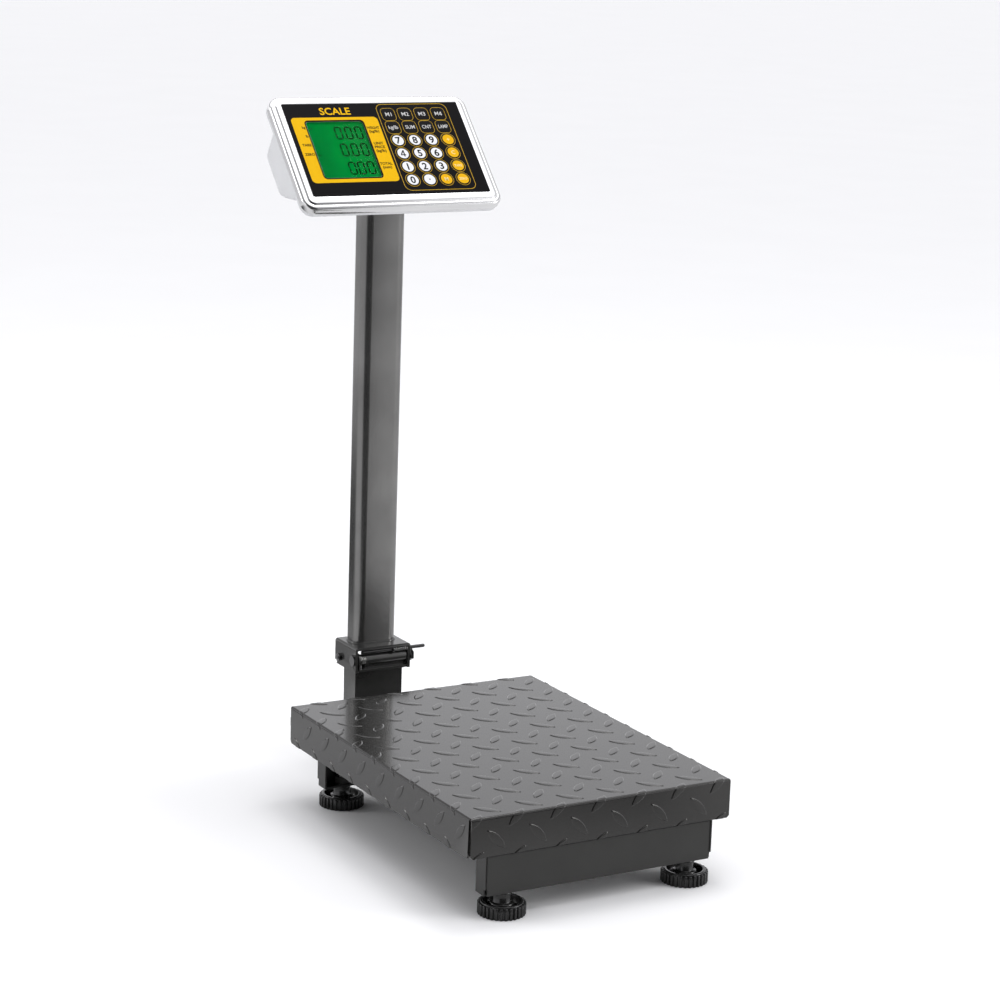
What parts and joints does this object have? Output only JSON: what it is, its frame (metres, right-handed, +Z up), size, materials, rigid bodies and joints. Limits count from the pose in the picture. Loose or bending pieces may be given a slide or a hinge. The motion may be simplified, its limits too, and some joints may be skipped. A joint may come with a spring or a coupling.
{
  "type": "price-computing platform scale",
  "caption": "Platform scale with a tread-plate pan, levelling feet, fold-down column and a tilted keypad and LCD head.",
  "frame": {"origin": "on the floor, at the centre of the bounding box's footprint", "axes": "+X to the right of a user who faces the column, -Y towards the user, +Z up"},
  "size_m": [0.3016, 0.5765, 0.7396],
  "materials": {
    "pan": "grey enamel, semi-gloss, over pressed tread plate",
    "base_paint": "dark grey powder coat",
    "column_paint": "grey powder coat, fine texture",
    "hinge_paint": "dark grey powder coat",
    "black_steel": "black oxide",
    "zinc": "bright zinc plate",
    "cell_aluminium": "plain anodised",
    "knob": "black moulded plastic",
    "pad": "black rubber",
    "stainless": "fine brushed stainless",
    "shell": "light grey moulded plastic",
    "overlay": "printed polyester film",
    "window": "clear window over the LCD",
    "lcd": "backlit green LCD",
    "board": "green circuit board",
    "battery": "dark grey battery case",
    "key_black": "printed film, near black",
    "key_white": "printed film, white",
    "key_amber": "printed film, amber",
    "black_plastic": "black moulded plastic"
  },
  "bodies": {
    "base": {"base_front_beam": "base_paint", "base_rear_beam": "base_paint", "base_spine": "base_paint", "load_cell": "cell_aluminium", "cell_bolts": "zinc", "upper_frame": "base_paint", "overload_stops": "zinc", "pan_pads": "pad", "post_stub": "hinge_paint", "pivot_bolt": "black_steel", "pivot_washers": "zinc"},
    "pan": {"pan": "pan"},
    "foot_front_left": {"foot_knob_front_left": "knob", "foot_stud_front_left": "zinc"},
    "foot_front_right": {"foot_knob_front_right": "knob", "foot_stud_front_right": "zinc"},
    "foot_rear_left": {"foot_knob_rear_left": "knob", "foot_stud_rear_left": "zinc"},
    "foot_rear_right": {"foot_knob_rear_right": "knob", "foot_stud_rear_right": "zinc"},
    "column": {"hinge_saddle": "hinge_paint", "cross_bolt": "black_steel", "column_tube": "column_paint", "column_head": "base_paint", "front_bezel": "stainless", "rear_shell": "shell", "face_panel": "overlay", "lcd_glass": "window", "lcd_module": "lcd", "main_board": "board", "battery": "battery", "shell_screws": "zinc", "power_socket": "black_plastic", "latch_spring": "zinc"},
    "latch": {"latch_rod": "black_steel"},
    "rocker": {"power_rocker": "black_plastic"},
    "key_r1_c1": {"key_r1_c1": "key_black"},
    "key_r1_c2": {"key_r1_c2": "key_black"},
    "key_r1_c3": {"key_r1_c3": "key_black"},
    "key_r1_c4": {"key_r1_c4": "key_black"},
    "key_r2_c1": {"key_r2_c1": "key_black"},
    "key_r2_c2": {"key_r2_c2": "key_black"},
    "key_r2_c3": {"key_r2_c3": "key_black"},
    "key_r2_c4": {"key_r2_c4": "key_black"},
    "key_r3_c1": {"key_r3_c1": "key_white"},
    "key_r3_c2": {"key_r3_c2": "key_white"},
    "key_r3_c3": {"key_r3_c3": "key_white"},
    "key_r3_c4": {"key_r3_c4": "key_amber"},
    "key_r4_c1": {"key_r4_c1": "key_white"},
    "key_r4_c2": {"key_r4_c2": "key_white"},
    "key_r4_c3": {"key_r4_c3": "key_white"},
    "key_r4_c4": {"key_r4_c4": "key_amber"},
    "key_r5_c1": {"key_r5_c1": "key_white"},
    "key_r5_c2": {"key_r5_c2": "key_white"},
    "key_r5_c3": {"key_r5_c3": "key_white"},
    "key_r5_c4": {"key_r5_c4": "key_amber"},
    "key_r6_c1": {"key_r6_c1": "key_white"},
    "key_r6_c2": {"key_r6_c2": "key_white"},
    "key_r6_c3": {"key_r6_c3": "key_amber"},
    "key_r6_c4": {"key_r6_c4": "key_amber"}
  },
  "joints": [
    {"name": "pan_lift", "type": "slide", "parent": "base", "child": "pan", "axis": [0, 0, 1], "range_m": [0, 0.02]},
    {"name": "foot_turn_front_left", "type": "slide", "parent": "base", "child": "foot_front_left", "axis": [0, 0, 1], "range_m": [-0.012, 0]},
    {"name": "foot_turn_front_right", "type": "slide", "parent": "base", "child": "foot_front_right", "axis": [0, 0, 1], "range_m": [-0.012, 0]},
    {"name": "foot_turn_rear_left", "type": "slide", "parent": "base", "child": "foot_rear_left", "axis": [0, 0, 1], "range_m": [-0.012, 0]},
    {"name": "foot_turn_rear_right", "type": "slide", "parent": "base", "child": "foot_rear_right", "axis": [0, 0, 1], "range_m": [-0.012, 0]},
    {"name": "column_fold", "type": "hinge", "parent": "base", "child": "column", "pos_m": [0, 0.20521, 0.12], "axis": [1, 0, 0], "range_deg": [0, 90]},
    {"name": "latch_pull", "type": "slide", "parent": "column", "child": "latch", "axis": [1, 0, 0], "range_m": [0, 0.008], "stiffness_N_per_m": 300, "springref_m": -0.004, "deforming": ["latch_spring"]},
    {"name": "rocker_tip", "type": "hinge", "parent": "column", "child": "rocker", "pos_m": [-0.06, 0.21621, 0.632], "axis": [1, 0, 0], "range_deg": [0, 14]},
    {"name": "key_r1_c1_press", "type": "slide", "parent": "column", "child": "key_r1_c1", "axis": [0, 0.7254, -0.6884], "range_m": [0, 0.0005], "stiffness_N_per_m": 400},
    {"name": "key_r1_c2_press", "type": "slide", "parent": "column", "child": "key_r1_c2", "axis": [0, 0.7254, -0.6884], "range_m": [0, 0.0005], "stiffness_N_per_m": 400},
    {"name": "key_r1_c3_press", "type": "slide", "parent": "column", "child": "key_r1_c3", "axis": [0, 0.7254, -0.6884], "range_m": [0, 0.0005], "stiffness_N_per_m": 400},
    {"name": "key_r1_c4_press", "type": "slide", "parent": "column", "child": "key_r1_c4", "axis": [0, 0.7254, -0.6884], "range_m": [0, 0.0005], "stiffness_N_per_m": 400},
    {"name": "key_r2_c1_press", "type": "slide", "parent": "column", "child": "key_r2_c1", "axis": [0, 0.7254, -0.6884], "range_m": [0, 0.0005], "stiffness_N_per_m": 400},
    {"name": "key_r2_c2_press", "type": "slide", "parent": "column", "child": "key_r2_c2", "axis": [0, 0.7254, -0.6884], "range_m": [0, 0.0005], "stiffness_N_per_m": 400},
    {"name": "key_r2_c3_press", "type": "slide", "parent": "column", "child": "key_r2_c3", "axis": [0, 0.7254, -0.6884], "range_m": [0, 0.0005], "stiffness_N_per_m": 400},
    {"name": "key_r2_c4_press", "type": "slide", "parent": "column", "child": "key_r2_c4", "axis": [0, 0.7254, -0.6884], "range_m": [0, 0.0005], "stiffness_N_per_m": 400},
    {"name": "key_r3_c1_press", "type": "slide", "parent": "column", "child": "key_r3_c1", "axis": [0, 0.7254, -0.6884], "range_m": [0, 0.0005], "stiffness_N_per_m": 400},
    {"name": "key_r3_c2_press", "type": "slide", "parent": "column", "child": "key_r3_c2", "axis": [0, 0.7254, -0.6884], "range_m": [0, 0.0005], "stiffness_N_per_m": 400},
    {"name": "key_r3_c3_press", "type": "slide", "parent": "column", "child": "key_r3_c3", "axis": [0, 0.7254, -0.6884], "range_m": [0, 0.0005], "stiffness_N_per_m": 400},
    {"name": "key_r3_c4_press", "type": "slide", "parent": "column", "child": "key_r3_c4", "axis": [0, 0.7254, -0.6884], "range_m": [0, 0.0005], "stiffness_N_per_m": 400},
    {"name": "key_r4_c1_press", "type": "slide", "parent": "column", "child": "key_r4_c1", "axis": [0, 0.7254, -0.6884], "range_m": [0, 0.0005], "stiffness_N_per_m": 400},
    {"name": "key_r4_c2_press", "type": "slide", "parent": "column", "child": "key_r4_c2", "axis": [0, 0.7254, -0.6884], "range_m": [0, 0.0005], "stiffness_N_per_m": 400},
    {"name": "key_r4_c3_press", "type": "slide", "parent": "column", "child": "key_r4_c3", "axis": [0, 0.7254, -0.6884], "range_m": [0, 0.0005], "stiffness_N_per_m": 400},
    {"name": "key_r4_c4_press", "type": "slide", "parent": "column", "child": "key_r4_c4", "axis": [0, 0.7254, -0.6884], "range_m": [0, 0.0005], "stiffness_N_per_m": 400},
    {"name": "key_r5_c1_press", "type": "slide", "parent": "column", "child": "key_r5_c1", "axis": [0, 0.7254, -0.6884], "range_m": [0, 0.0005], "stiffness_N_per_m": 400},
    {"name": "key_r5_c2_press", "type": "slide", "parent": "column", "child": "key_r5_c2", "axis": [0, 0.7254, -0.6884], "range_m": [0, 0.0005], "stiffness_N_per_m": 400},
    {"name": "key_r5_c3_press", "type": "slide", "parent": "column", "child": "key_r5_c3", "axis": [0, 0.7254, -0.6884], "range_m": [0, 0.0005], "stiffness_N_per_m": 400},
    {"name": "key_r5_c4_press", "type": "slide", "parent": "column", "child": "key_r5_c4", "axis": [0, 0.7254, -0.6884], "range_m": [0, 0.0005], "stiffness_N_per_m": 400},
    {"name": "key_r6_c1_press", "type": "slide", "parent": "column", "child": "key_r6_c1", "axis": [0, 0.7254, -0.6884], "range_m": [0, 0.0005], "stiffness_N_per_m": 400},
    {"name": "key_r6_c2_press", "type": "slide", "parent": "column", "child": "key_r6_c2", "axis": [0, 0.7254, -0.6884], "range_m": [0, 0.0005], "stiffness_N_per_m": 400},
    {"name": "key_r6_c3_press", "type": "slide", "parent": "column", "child": "key_r6_c3", "axis": [0, 0.7254, -0.6884], "range_m": [0, 0.0005], "stiffness_N_per_m": 400},
    {"name": "key_r6_c4_press", "type": "slide", "parent": "column", "child": "key_r6_c4", "axis": [0, 0.7254, -0.6884], "range_m": [0, 0.0005], "stiffness_N_per_m": 400}
  ]
}
